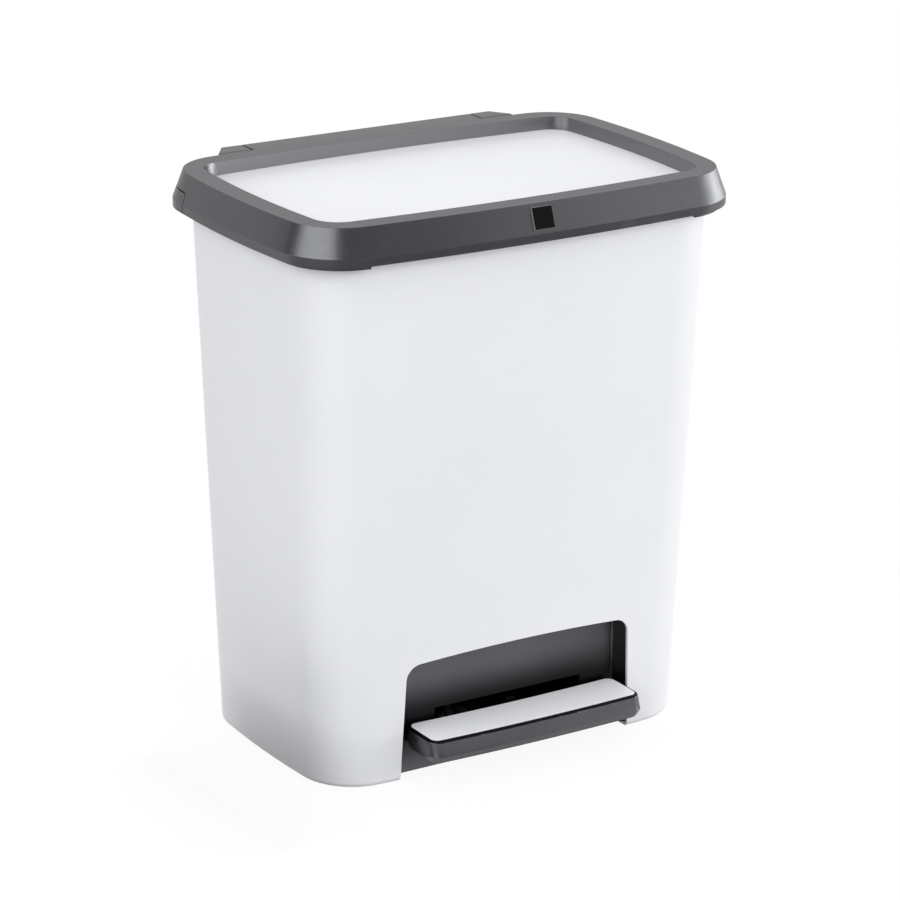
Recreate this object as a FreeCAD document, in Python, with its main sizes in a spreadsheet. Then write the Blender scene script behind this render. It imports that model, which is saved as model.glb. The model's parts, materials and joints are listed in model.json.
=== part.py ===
import FreeCAD, Part
import math
import os
import Sketcher

# Driving sizes in millimetres
sizes = {
    # Overall form
    "lid_width": 364.0,
    "lid_depth": 245.0,
    "bin_height": 415.0,
    "front_bow": 1750.0,
    "side_bow": 825.0,
    # Lid ring, its sloped skirt and the panel set into it
    "lid_corner": 47.5,
    "slope_height": 20.0,
    "slope_inset": 7.5,
    "band_height": 6.0,
    "ring_width": 16.0,
    "ring_corner": 19.5,
    "recess_depth": 9.5,
    "recess_draft": 1.5,
    "lid_wall": 2.4,
    "ledge_width": 5.0,
    "ledge_thickness": 2.0,
    "panel_thickness": 2.5,
    "panel_gap": 0.15,
    "rib_thickness": 2.0,
    "rib_depth": 5.2,
    "rib_margin": 82.0,
    "lid_rest_gap": 0.5,
    # Badge plate on the front slope
    "badge_width": 17.4,
    "badge_height": 16.5,
    "badge_thickness": 1.2,
    "badge_bevel": 0.7,
    "badge_seat": 0.05,
    # Collar between the shell and the lid
    "collar_cover": 4.5,
    "collar_thickness": 2.5,
    "collar_inset": 4.5,
    "collar_lip": 3.0,
    "collar_wall": 2.2,
    "spigot_depth": 15.0,
    "relief_margin": 50.0,
    "seam_gap": 0.8,
    "fit_gap": 0.4,
    # Hinge
    "hinge_behind": 1.5,
    "hinge_below": 9.5,
    "knuckle_radius": 7.5,
    "knuckle_length": 30.0,
    "hinge_pin_radius": 2.5,
    "pin_in_ear": 14.0,
    "pin_in_knuckle": 20.0,
    "running_gap": 0.05,
    "press_gap": 0.02,
    "tab_margin": 85.4,
    "tab_gap": 1.4,
    "ear_width": 27.5,
    "ear_slant": 14.0,
    "ear_chamfer": 1.8,
    "hump_round": 3.0,
    "skirt_setback": 56.5,
    "split_below": 2.0,
    # Crank under the lid and the rod that lifts it
    "crank_reach": 22.5,
    "crank_drop": 17.5,
    "crank_pin_radius": 2.0,
    "crank_boss": 5.0,
    "crank_play": 0.9,
    "cheek_thickness": 4.0,
    "side_play": 1.0,
    "rod_radius": 2.5,
    "rod_to_wall": 5.4,
    "head_width": 10.4,
    "head_wall": 2.0,
    "head_height": 15.6,
    "socket_length": 13.7,
    "socket_wall": 1.7,
    "channel_width": 28.0,
    "channel_wall": 2.0,
    "channel_gap": 2.5,
    # Shell
    "overhang_side": 10.8,
    "overhang_front": 12.4,
    "taper_side": 15.4,
    "taper_front": 11.3,
    "rim_corner": 46.0,
    "foot_corner": 42.5,
    "body_wall": 2.4,
    "flange_width": 12.0,
    "flange_thickness": 2.4,
    "foot_round": 4.0,
    "opening_margin": 58.3,
    "opening_lean": 3.8,
    "opening_height": 91.0,
    "opening_rise": 4.0,
    "opening_corner": 12.0,
    # Recess behind the pedal
    "recess_setback": 14.2,
    "housing_wall": 2.0,
    "housing_gap": 0.5,
    "roof_gap": 2.0,
    "corner_fill_width": 7.0,
    "corner_fill_depth": 7.8,
    "skirt_gap": 0.5,
    "window_margin": 35.5,
    "window_sill": 13.0,
    "window_head": 45.0,
    # Base tray
    "tray_thickness": 2.0,
    "lug_thickness": 5.0,
    "lug_radius": 8.0,
    "tab_height": 40.0,
    "screw_radius": 1.5,
    "screw_head_radius": 3.5,
    "screw_head_height": 2.0,
    "screw_spread": 90.0,
    # Pedal
    "pedal_reach": 32.7,
    "pedal_side_gap": 7.9,
    "pedal_top": 38.0,
    "pedal_height": 15.3,
    "brow_drop": 10.7,
    "brow_inset": 3.0,
    "brow_side": 0.3,
    "chin_inset": 2.0,
    "pedal_corner": 9.0,
    "pedal_round": 1.8,
    "back_rim": 0.6,
    "pedal_gap": 3.8,
    "pedal_wall": 3.0,
    "pedal_deck": 4.0,
    "insert_thickness": 3.6,
    "insert_proud": 0.6,
    "insert_corner": 7.1,
    "insert_rim": 1.5,
    "insert_groove": 1.0,
    "insert_round": 0.6,
    "neck_width": 68.0,
    "neck_length": 20.0,
    "neck_thickness": 6.5,
    "bump_width": 12.0,
    "bump_height": 4.0,
    # Lever under the bucket
    "axle_behind": 24.6,
    "axle_height": 27.0,
    "axle_radius": 3.0,
    "clip_thickness": 1.5,
    "clip_radius": 5.5,
    "lever_width": 64.0,
    "plate_thickness": 5.5,
    "plate_reach": 20.0,
    "hub_radius": 8.0,
    "arm_width": 12.0,
    "arm_end_radius": 4.0,
    "arm_root_height": 13.0,
    "lever_pin_radius": 2.0,
    "fork_cheek": 3.8,
    "fork_play": 0.35,
    "fork_wall": 1.4,
    "lever_screw_spread": 40.0,
    # Inner bucket
    "bucket_wall": 1.8,
    "bucket_rim_width": 7.0,
    "bucket_rim_thickness": 2.0,
    "bucket_ledge_side": 21.8,
    "bucket_ledge_front": 11.7,
    "bucket_taper_side": 14.0,
    "bucket_taper_back": 6.0,
    "bucket_corner": 28.0,
    "bucket_gap": 1.5,
    "bucket_over_lever": 4.5,
}

doc = FreeCAD.newDocument("pedal_bin")
sheet = doc.addObject("Spreadsheet::Sheet", "Sizes")
for row, (alias, value) in enumerate(sizes.items(), 1):
    sheet.set(f"A{row}", alias)
    sheet.set(f"B{row}", str(value))
    sheet.setAlias(f"B{row}", alias)
doc.recompute()

CUT_OVER = 1.0
nodes = []


class Length:
    """A number together with the sheet formula that gives it."""

    def __init__(self, value, formula):
        self.value = value
        self.formula = formula

    def __add__(self, other):
        other = as_length(other)
        return Length(self.value + other.value, f"({self.formula} + {other.formula})")

    def __sub__(self, other):
        other = as_length(other)
        return Length(self.value - other.value, f"({self.formula} - {other.formula})")

    def __mul__(self, other):
        other = as_length(other)
        return Length(self.value * other.value, f"({self.formula} * {other.formula})")

    def __truediv__(self, other):
        other = as_length(other)
        return Length(self.value / other.value, f"({self.formula} / {other.formula})")

    def __neg__(self):
        return self * -1

    def __rsub__(self, other):
        return as_length(other) - self

    __radd__ = __add__
    __rmul__ = __mul__


def as_length(number):
    return number if isinstance(number, Length) else Length(float(number), f"({number})")


def root(length):
    return Length(math.sqrt(length.value), f"sqrt({length.formula})")


def size(alias):
    return Length(float(sheet.get(alias)), f"Sizes.{alias}")


def bind(feature, path, length):
    feature.setExpression(path, as_length(length).formula)


# Sketches
def add_sketch(body, name, plane, offset):
    sketch = body.newObject("Sketcher::SketchObject", name)
    support = next(part for part in body.Origin.OriginFeatures if part.Role == plane)
    sketch.AttachmentSupport = [(support, "")]
    sketch.MapMode = "FlatFace"
    bind(sketch, "AttachmentOffset.Base.z", offset)
    return sketch


def point(across, up):
    return FreeCAD.Vector(as_length(across).value, as_length(up).value, 0)


def fix(sketch, kind, places, length):
    length = as_length(length)
    index = sketch.addConstraint(Sketcher.Constraint(kind, *places, length.value))
    bind(sketch, f"Constraints[{index}]", length)


def place_point(sketch, side, end, across, up):
    for kind, axis, length in (("DistanceX", -2, across), ("DistanceY", -1, up)):
        if isinstance(length, Length):
            fix(sketch, kind, (-1, 1, side, end), length)
        else:
            sketch.addConstraint(Sketcher.Constraint("PointOnObject", side, end, axis))


def join_ends(sketch, kind, count):
    for side in range(count):
        sketch.addConstraint(Sketcher.Constraint(kind, side, 2, (side + 1) % count, 1))


def draw_polygon(sketch, corners):
    for start, end in zip(corners, corners[1:] + corners[:1]):
        sketch.addGeometry(Part.LineSegment(point(*start), point(*end)), False)
    join_ends(sketch, "Coincident", len(corners))
    for side, corner in enumerate(corners):
        place_point(sketch, side, 1, *corner)


def draw_circle(sketch, across, up, radius):
    circle = Part.Circle(point(across, up), FreeCAD.Vector(0, 0, 1), radius.value)
    side = sketch.addGeometry(circle, False)
    place_point(sketch, side, 3, across, up)
    fix(sketch, "Radius", (side,), radius)


def arc_between(centre, radius, start, end):
    circle = Part.Circle(FreeCAD.Vector(*centre, 0), FreeCAD.Vector(0, 0, 1), radius)
    return Part.ArcOfCircle(circle, math.radians(start), math.radians(end))


def draw_rounded_box(sketch, x_range, y_range, radius):
    """Four straight sides and four equal round corners, counter-clockwise from the front."""
    left, right = (as_length(x) for x in x_range)
    front, back = (as_length(y) for y in y_range)
    bend = radius.value
    near = (left.value + bend, right.value - bend)
    deep = (front.value + bend, back.value - bend)
    corners = ((near[1], deep[0]), (near[1], deep[1]), (near[0], deep[1]), (near[0], deep[0]))
    sides = (
        ((near[0], front.value), (near[1], front.value)),
        ((right.value, deep[0]), (right.value, deep[1])),
        ((near[1], back.value), (near[0], back.value)),
        ((left.value, deep[1]), (left.value, deep[0])),
    )
    for turn, (side, centre) in enumerate(zip(sides, corners)):
        ends = (FreeCAD.Vector(*end, 0) for end in side)
        sketch.addGeometry(Part.LineSegment(*ends), False)
        sketch.addGeometry(arc_between(centre, bend, 90 * turn - 90, 90 * turn), False)
    join_ends(sketch, "Tangent", 8)
    for side, kind in ((0, "Horizontal"), (2, "Vertical"), (4, "Horizontal"), (6, "Vertical")):
        sketch.addConstraint(Sketcher.Constraint(kind, side))
    for side, kind, length in ((0, "DistanceY", front), (2, "DistanceX", right),
                               (4, "DistanceY", back), (6, "DistanceX", left)):
        fix(sketch, kind, (-1, 1, side, 1), length)
    for corner in (1, 3, 5, 7):
        fix(sketch, "Radius", (corner,), radius)


class PedalPlan:
    """Straight sides and round corners, with front and back bowed like the shell."""

    def __init__(self, half, front, back, corner):
        self.half = half
        self.front = front
        self.back = back
        self.corner = corner

    def inset(self, front, back, corner):
        """Drawn in by one amount at the front and sides and another at the back."""
        return PedalPlan(self.half - front, self.front + front, self.back - back, corner)

    def draw(self, sketch):
        bow, bend, half = size("front_bow"), self.corner.value, self.half.value
        front_centre, back_centre = self.front + bow, self.back + bow
        x = half - bend
        near = front_centre.value - math.sqrt((bow.value - bend) ** 2 - x ** 2)
        far = back_centre.value - math.sqrt((bow.value + bend) ** 2 - x ** 2)
        swing = math.degrees(math.atan2(near - front_centre.value, x))
        turn = math.degrees(math.atan2(back_centre.value - far, -x))
        sides = (
            arc_between((0, front_centre.value), bow.value, -180 - swing, swing),
            arc_between((x, near), bend, swing, 0),
            Part.LineSegment(FreeCAD.Vector(half, near, 0), FreeCAD.Vector(half, far, 0)),
            arc_between((x, far), bend, 0, turn),
            arc_between((0, back_centre.value), bow.value, -turn, turn - 180),
            arc_between((-x, far), bend, 180 - turn, 180),
            Part.LineSegment(FreeCAD.Vector(-half, far, 0), FreeCAD.Vector(-half, near, 0)),
            arc_between((-x, near), bend, 180, 180 - swing),
        )
        for side in sides:
            sketch.addGeometry(side, False)
        meetings = ((0, 2, 1, 1), (1, 2, 2, 1), (2, 2, 3, 1), (3, 2, 4, 2), (4, 1, 5, 1), (5, 2, 6, 1),
                    (6, 2, 7, 1), (7, 2, 0, 1))
        for meeting in meetings:
            sketch.addConstraint(Sketcher.Constraint("Tangent", *meeting))
        for side, length in ((2, self.half), (6, -self.half)):
            sketch.addConstraint(Sketcher.Constraint("Vertical", side))
            fix(sketch, "DistanceX", (-1, 1, side, 1), length)
        for corner in (1, 3, 5, 7):
            fix(sketch, "Radius", (corner,), self.corner)
        for side, centre in ((0, front_centre), (4, back_centre)):
            place_point(sketch, side, 3, 0, centre)
            fix(sketch, "Radius", (side,), bow)


class Outline:
    """A rectangle with bowed sides and round corners, centred on the vertical axis."""

    def __init__(self, width, depth, front, side, corner):
        self.width = width
        self.depth = depth
        self.front = front
        self.side = side
        self.corner = corner

    def inset(self, gap, corner=None):
        return Outline(self.width - 2 * gap, self.depth - 2 * gap, self.front - gap,
                       self.side - gap, corner or self.corner - gap)

    def draw(self, sketch):
        front, side, bend = self.front.value, self.side.value, self.corner.value
        front_centre = self.front - self.depth / 2
        side_centre = self.side - self.width / 2
        x, y = self.corner_centre(front_centre.value, side_centre.value)
        swing = math.degrees(math.atan2(x, front_centre.value + y))
        lean = math.degrees(math.atan2(y, side_centre.value + x))
        arcs = (
            ((0, front_centre.value), front, -90 - swing, -90 + swing),
            ((x, -y), bend, -90 + swing, -lean),
            ((-side_centre.value, 0), side, -lean, lean),
            ((x, y), bend, lean, 90 - swing),
            ((0, -front_centre.value), front, 90 - swing, 90 + swing),
            ((-x, y), bend, 90 + swing, 180 - lean),
            ((side_centre.value, 0), side, 180 - lean, 180 + lean),
            ((-x, -y), bend, 180 + lean, 270 - swing),
        )
        for arc in arcs:
            sketch.addGeometry(arc_between(*arc), False)
        join_ends(sketch, "Tangent", 8)
        place_point(sketch, 0, 3, 0, front_centre)
        place_point(sketch, 2, 3, -side_centre, 0)
        place_point(sketch, 4, 3, 0, -front_centre)
        place_point(sketch, 6, 3, side_centre, 0)
        for arc, radius in ((0, self.front), (4, self.front), (2, self.side), (6, self.side)):
            fix(sketch, "Radius", (arc,), radius)
        for arc in (1, 3, 5, 7):
            fix(sketch, "Radius", (arc,), self.corner)

    def corner_centre(self, front_centre, side_centre):
        """Where a corner circle touches both bowed sides from within, at the back right."""
        to_front = self.front.value - self.corner.value
        to_side = self.side.value - self.corner.value
        apart = math.hypot(side_centre, front_centre)
        along = (apart ** 2 + to_side ** 2 - to_front ** 2) / (2 * apart)
        across = math.sqrt(to_side ** 2 - along ** 2)
        step = (side_centre / apart, -front_centre / apart)
        x = -side_centre + along * step[0] - across * step[1]
        y = along * step[1] + across * step[0]
        return x, y


# Features
def add_body(label):
    body = doc.addObject("PartDesign::Body", label)
    nodes.append(body)
    return body


def extrude(body, kind, sketch, length, symmetric=False):
    """Pad or Pocket along the sketch's own normal, or to both sides of it."""
    feature = body.newObject(f"PartDesign::{kind}", f"{sketch.Name}_{kind.lower()}")
    feature.Profile = sketch
    feature.Reversed = kind == "Pocket"
    if symmetric:
        feature.SideType = "Symmetric"
    bind(feature, "Length", length)


def block(body, kind, name, x_range, y_range, z_range):
    sketch = add_sketch(body, name, "XY_Plane", z_range[0])
    (left, right), (front, back) = x_range, y_range
    draw_polygon(sketch, [(left, front), (right, front), (right, back), (left, back)])
    extrude(body, kind, sketch, z_range[1] - z_range[0])


def slab(body, kind, name, outline, z_range):
    sketch = add_sketch(body, name, "XY_Plane", z_range[0])
    outline.draw(sketch)
    extrude(body, kind, sketch, z_range[1] - z_range[0])


def rounded_slab(body, kind, name, x_range, y_range, radius, z_range):
    sketch = add_sketch(body, name, "XY_Plane", z_range[0])
    draw_rounded_box(sketch, x_range, y_range, radius)
    extrude(body, kind, sketch, z_range[1] - z_range[0])


def side_plate(body, kind, name, corners, x_range):
    """A plate with a side-view profile of (y, z) corners."""
    sketch = add_sketch(body, name, "YZ_Plane", x_range[0])
    draw_polygon(sketch, corners)
    extrude(body, kind, sketch, x_range[1] - x_range[0])


def cross_round(body, kind, name, y, z, radius, x_range):
    sketch = add_sketch(body, name, "YZ_Plane", x_range[0])
    draw_circle(sketch, y, z, radius)
    extrude(body, kind, sketch, x_range[1] - x_range[0])


def upright_round(body, kind, name, x, y, radius, z_range):
    sketch = add_sketch(body, name, "XY_Plane", z_range[0])
    draw_circle(sketch, x, y, radius)
    extrude(body, kind, sketch, z_range[1] - z_range[0])


def loft(body, kind, lower, upper):
    feature = body.newObject(f"PartDesign::{kind}Loft", f"{lower.Name}_loft")
    feature.Profile = lower
    feature.Sections = [upper]
    feature.Ruled = True


def outline_loft(body, kind, name, lower, low, upper, high):
    ends = []
    for end, outline, height in (("low", lower, low), ("high", upper, high)):
        sketch = add_sketch(body, f"{name}_{end}", "XY_Plane", height)
        outline.draw(sketch)
        ends.append(sketch)
    loft(body, kind, *ends)


def box_loft(body, kind, name, lower, low, upper, high):
    """Loft between two rounded boxes, each given as x range, y range and corner radius."""
    ends = []
    for end, box, height in (("low", lower, low), ("high", upper, high)):
        sketch = add_sketch(body, f"{name}_{end}", "XY_Plane", height)
        draw_rounded_box(sketch, *box)
        ends.append(sketch)
    loft(body, kind, *ends)


def dress_edges(body, kind, name, amount, chosen):
    doc.recompute()
    base = body.Tip
    edges = [f"Edge{index}" for index, edge in enumerate(base.Shape.Edges, 1) if chosen(edge)]
    feature = body.newObject(f"PartDesign::{kind}", name)
    feature.Base = (base, edges)
    bind(feature, "Radius" if kind == "Fillet" else "Size", amount)


def level_at(height):
    """Picks the edges that lie flat at one height."""
    def chosen(edge):
        box = edge.BoundBox
        return abs(box.ZMin - height.value) < 1e-4 and abs(box.ZMax - height.value) < 1e-4
    return chosen


def mirrored(inner, outer):
    """The same x range on the right and on the left."""
    return (("right", (inner, outer)), ("left", (-outer, -inner)))


def cylinder(name, radius, length, place, turn):
    piece = doc.addObject("Part::Cylinder", name)
    bind(piece, "Radius", radius)
    bind(piece, "Height", length)
    piece.Placement = FreeCAD.Placement(FreeCAD.Vector(), turn)
    for axis, distance in zip("xyz", place):
        bind(piece, f"Placement.Base.{axis}", distance)
    return piece


UPRIGHT = FreeCAD.Rotation()
ALONG_X = FreeCAD.Rotation(FreeCAD.Vector(0, 1, 0), 90)


def add_group(label, pieces):
    group = doc.addObject("Part::Compound", label)
    group.Links = pieces
    nodes.append(group)


def add_pin(label, radius, half_length, y, z):
    pin = cylinder(label, radius, 2 * half_length, (-half_length, y, z), ALONG_X)
    nodes.append(pin)


def screw(name, x, y, z, down, shank):
    """A pan-head screw: z is where the head seats, down says which way the shank points."""
    tall = size("screw_head_height")
    head_foot = z if down else z - tall
    shank_foot = z - shank if down else z
    head = cylinder(f"{name}_head", size("screw_head_radius"), tall, (x, y, head_foot), UPRIGHT)
    stem = cylinder(f"{name}_shank", size("screw_radius"), shank, (x, y, shank_foot), UPRIGHT)
    whole = doc.addObject("Part::Fuse", name)
    whole.Base = head
    whole.Tool = stem
    return whole


# Heights and depths worked out from the sizes
lid_half_width = size("lid_width") / 2
lid_half_depth = size("lid_depth") / 2
lid_top = size("bin_height")
band_top = lid_top - size("slope_height")
band_foot = band_top - size("band_height")
collar_top = band_foot + size("collar_cover")
rim = collar_top - size("collar_thickness")
collar_foot = band_foot - size("collar_lip")
spigot_foot = rim - size("spigot_depth")
rim_half_width = lid_half_width - size("overhang_side")
rim_half_depth = lid_half_depth - size("overhang_front")
foot_half_depth = rim_half_depth - size("taper_front")
opening_half = rim_half_width - size("taper_side") - size("opening_margin")
window_half = opening_half - size("window_margin")
pedal_half = opening_half - size("pedal_side_gap")
body_wall = size("body_wall")
flange_top = size("flange_thickness")
tray_top = flange_top + size("tray_thickness")

hinge_y = lid_half_depth + size("hinge_behind")
hinge_z = lid_top - size("hinge_below")
hump_back = hinge_y + size("knuckle_radius")
split = hinge_z - size("split_below")
skirt_end = lid_half_depth - size("skirt_setback")
tab_half = lid_half_width - size("tab_margin")
ear_inner = tab_half + size("tab_gap")
ear_outer = ear_inner + size("ear_width")
ear_pin_end = ear_inner + size("pin_in_ear")

crank_y = hinge_y - size("crank_reach")
crank_z = hinge_z - size("crank_drop")
crank_radius = root(size("crank_reach") * size("crank_reach") + size("crank_drop") * size("crank_drop"))
crank_front = hinge_y - crank_radius
rod_y = foot_half_depth - body_wall - size("rod_to_wall")
head_half = size("head_width") / 2
cheek_inner = head_half + size("side_play")
cheek_outer = cheek_inner + size("cheek_thickness")
socket_half = size("rod_radius") + size("socket_wall")

recess_y = -(foot_half_depth - size("recess_setback"))
housing_back = recess_y + size("housing_wall")
roof = size("opening_height") + size("roof_gap")
housing_top = roof + size("housing_wall")
axle_y = recess_y + size("axle_behind")
axle_z = size("axle_height")
lever_pin_y = rod_y - size("crank_drop") * size("crank_drop") / (4 * (rod_y - axle_y))
lever_pin_z = axle_z - size("crank_drop")
lug_inner = size("neck_width") / 2 + size("side_play") * 2
lug_outer = lug_inner + size("lug_thickness")
tread_back = recess_y - size("pedal_gap")
tread_front = -(foot_half_depth + size("pedal_reach"))
deck_under = size("pedal_top") + size("insert_proud") - size("insert_thickness") - size("pedal_deck")
fork_half = size("arm_width") / 2 + size("side_play") / 2
fork_outer = fork_half + size("fork_cheek")
bucket_foot = axle_z + size("crank_drop") + size("arm_end_radius") + size("bucket_over_lever")
bucket_top = collar_top + size("bucket_rim_thickness")
channel_half = size("channel_width") / 2
channel_back = rod_y - size("rod_radius") - size("channel_gap")
channel_front = channel_back - size("channel_wall")

lid_outline = Outline(size("lid_width"), size("lid_depth"), size("front_bow"), size("side_bow"),
                      size("lid_corner"))
ring_outline = lid_outline.inset(size("slope_inset"))
recess_outline = lid_outline.inset(size("slope_inset") + size("ring_width"), size("ring_corner"))


def body_outline(height):
    """The shell's outside at a height, on the straight taper from foot to rim."""
    share = height / rim
    narrower = size("taper_side") * (1 - share)
    shallower = size("taper_front") * (1 - share)
    corner = size("foot_corner") + (size("rim_corner") - size("foot_corner")) * share
    return Outline(2 * (rim_half_width - narrower), 2 * (rim_half_depth - shallower),
                   size("front_bow"), size("side_bow"), corner)


def inner_wall_y(height):
    """How far the shell's inner face lies behind the middle, at the back centre."""
    return foot_half_depth + size("taper_front") * height / rim - body_wall


def bucket_box(height, inset):
    """The bucket's outside at a height, drawn in by an inset."""
    share = (bucket_top - height) / (bucket_top - bucket_foot)
    half = rim_half_width - body_wall - size("bucket_ledge_side") - size("bucket_taper_side") * share
    front_top = -(rim_half_depth - body_wall - size("bucket_ledge_front"))
    lean = (housing_back + size("bucket_gap") - front_top) / (bucket_top - housing_top)
    front = front_top + lean * (bucket_top - height)
    back = channel_front - size("bucket_gap") - size("bucket_taper_back") * share
    return ((-half + inset, half - inset), (front + inset, back - inset),
            size("bucket_corner") - inset)


# Shell
def make_outer_body():
    body = add_body("outer_body")
    bend_top = size("foot_round") + CUT_OVER
    slab(body, "Pad", "foot", body_outline(bend_top), (as_length(0), bend_top))
    dress_edges(body, "Fillet", "foot_edge", size("foot_round"), level_at(as_length(0)))
    outline_loft(body, "Additive", "shell", body_outline(bend_top), bend_top, body_outline(rim), rim)
    inside = body_outline(flange_top).inset(body_wall)
    outline_loft(body, "Subtractive", "hollow", inside, flange_top,
                 body_outline(rim + CUT_OVER).inset(body_wall), rim + CUT_OVER)
    slab(body, "Pocket", "floor_hole", inside.inset(size("flange_width")),
         (as_length(-CUT_OVER), flange_top + CUT_OVER))
    for number, (x, y) in enumerate(base_screw_places()):
        upright_round(body, "Pocket", f"screw_hole_{number}", x, y,
                      size("screw_radius") + size("press_gap"),
                      (as_length(-CUT_OVER), flange_top + CUT_OVER))
    cut_pedal_opening(body)


def cut_pedal_opening(body):
    """A slightly tapered opening with an arched head and round upper corners."""
    outside = rim_half_depth + CUT_OVER
    sketch = add_sketch(body, "pedal_opening", "XZ_Plane", outside)
    foot_half, top_half = opening_half, opening_half - size("opening_lean")
    rise, bend = size("opening_rise"), size("opening_corner")
    head = size("opening_height")
    shoulder = head - rise
    crown = (top_half * top_half + rise * rise) / (2 * rise)
    foot = as_length(-CUT_OVER)
    upper = top_half + (foot_half - top_half) * bend / shoulder
    turn = (shoulder - bend).value
    lean = math.degrees(math.atan2(upper.value - bend.value, crown.value))
    middle = (upper - bend).value
    sides = (
        Part.LineSegment(point(-foot_half, foot), point(foot_half, foot)),
        Part.LineSegment(point(foot_half, foot), point(upper, turn)),
        arc_between((middle, turn), bend.value, 2, 90 - lean),
        arc_between((0, (head - crown).value), crown.value, 90 - lean, 90 + lean),
        arc_between((-middle, turn), bend.value, 90 + lean, 178),
        Part.LineSegment(point(-upper, turn), point(-foot_half, foot)),
    )
    for side in sides:
        sketch.addGeometry(side, False)
    for side, kind in enumerate(("Coincident", "Tangent", "Tangent", "Tangent", "Tangent", "Coincident")):
        sketch.addConstraint(Sketcher.Constraint(kind, side, 2, (side + 1) % len(sides), 1))
    place_point(sketch, 0, 1, -foot_half, foot)
    place_point(sketch, 0, 2, foot_half, foot)
    place_point(sketch, 3, 3, 0, head - crown)
    for arc, radius in ((2, bend), (3, crown), (4, bend)):
        fix(sketch, "Radius", (arc,), radius)
    fix(sketch, "DistanceX", (-1, 1, 1, 2), upper)
    fix(sketch, "DistanceX", (-1, 1, 5, 1), -upper)
    feature = body.newObject("PartDesign::Pocket", "pedal_opening_pocket")
    feature.Profile = sketch
    bind(feature, "Length", outside + housing_back + size("fit_gap"))


def base_screw_places():
    inward = body_wall + size("flange_width") / 2
    x = rim_half_width - size("taper_side") - inward - size("fit_gap")
    y = size("screw_spread") / 2
    return [(side * x, end * y) for side in (-1, 1) for end in (-1, 1)]


# Collar with the fixed rear skirt and the hinge ears
def make_collar():
    body = add_body("collar")
    wall = size("lid_wall")
    slab(body, "Pad", "band", lid_outline, (band_foot, band_top))
    outline_loft(body, "Additive", "slope", lid_outline, band_top, ring_outline, lid_top)
    slab(body, "Pocket", "under_web", lid_outline.inset(wall), (band_foot - CUT_OVER, rim))
    slab(body, "Pocket", "over_web", lid_outline.inset(wall), (collar_top, band_top))
    outline_loft(body, "Subtractive", "slope_hollow", lid_outline.inset(wall), band_top,
                 ring_outline.inset(wall), lid_top)
    beyond = lid_half_width + CUT_OVER
    rear = lid_half_depth + CUT_OVER
    gap, step = size("seam_gap"), size("split_below")
    nib = gap * (math.sqrt(2) - 1)
    lid_side = [(-rear, band_foot - CUT_OVER), (skirt_end + gap, band_foot - CUT_OVER),
                (skirt_end + gap, split - step - nib), (skirt_end + step + nib, split - gap),
                (rear, split - gap), (rear, lid_top + CUT_OVER), (-rear, lid_top + CUT_OVER)]
    side_plate(body, "Pocket", "lid_away", lid_side, (-beyond, beyond))
    lip = lid_outline.inset(size("collar_inset"))
    slab(body, "Pad", "rim_cap", lip, (collar_foot, collar_top))
    slab(body, "Pocket", "lip_hollow", lip.inset(size("collar_wall")), (collar_foot - CUT_OVER, rim))
    spigot = body_outline(spigot_foot).inset(body_wall + size("fit_gap"))
    slab(body, "Pad", "spigot", spigot, (spigot_foot, rim))
    slab(body, "Pocket", "spigot_hollow", spigot.inset(size("collar_wall")), (spigot_foot - CUT_OVER, rim))
    x_range, y_range, corner = bucket_box(bucket_top, -size("bucket_gap"))
    rounded_slab(body, "Pocket", "bucket_hole", x_range, y_range, corner,
                 (rim - CUT_OVER, collar_top + CUT_OVER))
    slot = channel_half + size("fit_gap")
    block(body, "Pocket", "rod_slot", (-slot, slot), (y_range[1] - CUT_OVER, inner_wall_y(rim)),
          (spigot_foot - CUT_OVER, collar_top + CUT_OVER))
    relief = lid_half_width - size("relief_margin")
    block(body, "Pocket", "finger_relief", (-relief, relief), (-rear, -rim_half_depth + size("fit_gap") * 4),
          (collar_foot - CUT_OVER, band_foot + size("fit_gap")))
    between = ear_inner - size("tab_gap") / 4
    block(body, "Pocket", "knuckle_room", (-between, between), (inner_wall_y(rim) + CUT_OVER, hump_back),
          (hinge_z - size("knuckle_radius") - size("seam_gap") * 2, lid_top))
    add_ears(body)


def add_ears(body):
    ear_front = ear_front_y() + size("seam_gap")
    under = hinge_z - size("knuckle_radius")
    profile = [(ear_front, rim), (lid_half_depth - size("lid_wall"), rim), (hump_back, under),
               (hump_back, lid_top), (ear_front, lid_top)]
    for side, x_range in mirrored(ear_inner, ear_outer):
        side_plate(body, "Pad", f"ear_{side}", profile, x_range)
    for side in (-1, 1):
        sketch = add_sketch(body, f"ear_slant_{'right' if side > 0 else 'left'}", "XY_Plane", rim - CUT_OVER)
        far = side * (ear_outer + CUT_OVER)
        draw_polygon(sketch, [(side * ear_outer, ear_front), (far, ear_front), (far, hump_back + CUT_OVER),
                              (side * (ear_outer - size("ear_slant")), hump_back + CUT_OVER)])
        extrude(body, "Pocket", sketch, lid_top - rim + 2 * CUT_OVER)

    def back_top(edge):
        box = edge.BoundBox
        return abs(box.ZMin - lid_top.value) < 1e-4 and abs(box.YMin - hump_back.value) < 1e-4
    dress_edges(body, "Fillet", "ear_round", size("hump_round"), back_top)

    def front_top(edge):
        box = edge.BoundBox
        return abs(box.ZMin - lid_top.value) < 1e-4 and abs(box.YMax - ear_front.value) < 1e-4
    dress_edges(body, "Chamfer", "ear_relief", size("ear_chamfer"), front_top)
    cross_round(body, "Pocket", "pin_bore", hinge_y, hinge_z, size("hinge_pin_radius") + size("press_gap"),
                (-ear_pin_end, ear_pin_end))


def ear_front_y():
    """The ring's outer edge beside an ear, on the bowed back of the lid."""
    middle = ear_inner + size("ear_width") / 2
    return lid_half_depth - size("slope_inset") - middle * middle / (2 * size("front_bow"))


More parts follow.
